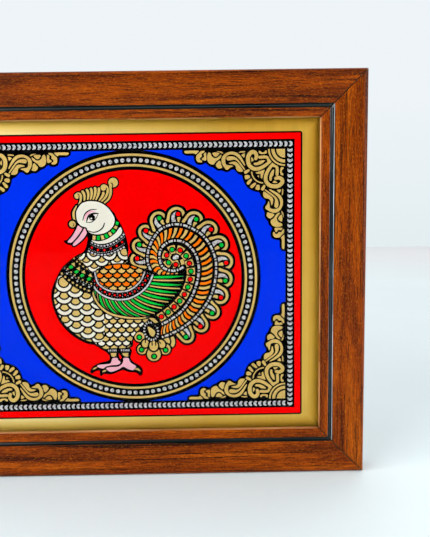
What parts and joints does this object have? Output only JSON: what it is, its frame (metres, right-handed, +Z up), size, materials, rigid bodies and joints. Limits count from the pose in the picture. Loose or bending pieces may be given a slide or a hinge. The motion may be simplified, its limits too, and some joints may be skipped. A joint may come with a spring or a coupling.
{
  "type": "reverse glass painting",
  "caption": "Wood-framed reverse glass painting with a traditional bird in a round medallion, gold foil margin, back board and hanger plate.",
  "frame": {"origin": "middle of the top rail's rear face, where the frame lies against a wall", "axes": "+X to the viewer's right along the long side, +Z up, +Y out of the back; the picture faces -Y"},
  "size_m": [0.291, 0.019, 0.25],
  "materials": {
    "wood_moulding": "satin",
    "clear_glass": "gloss",
    "paint": "gloss",
    "gold_foil": "metallic satin",
    "pressed_board": "matte",
    "bright_steel": "satin"
  },
  "bodies": {
    "root": {"rail_top": "wood_moulding", "rail_bottom": "wood_moulding", "rail_left": "wood_moulding", "rail_right": "wood_moulding", "glass_pane": "clear_glass", "gold_foil_sheet": "gold_foil", "back_board": "pressed_board", "hanger_plate": "bright_steel", "hanger_screw_upper": "bright_steel", "hanger_screw_lower": "bright_steel", "tab_top_left": "bright_steel", "tab_top_right": "bright_steel", "tab_bottom_left": "bright_steel", "tab_bottom_right": "bright_steel", "tab_left_upper": "bright_steel", "tab_left_lower": "bright_steel", "tab_right_upper": "bright_steel", "tab_right_lower": "bright_steel"}
  },
  "joints": []
}
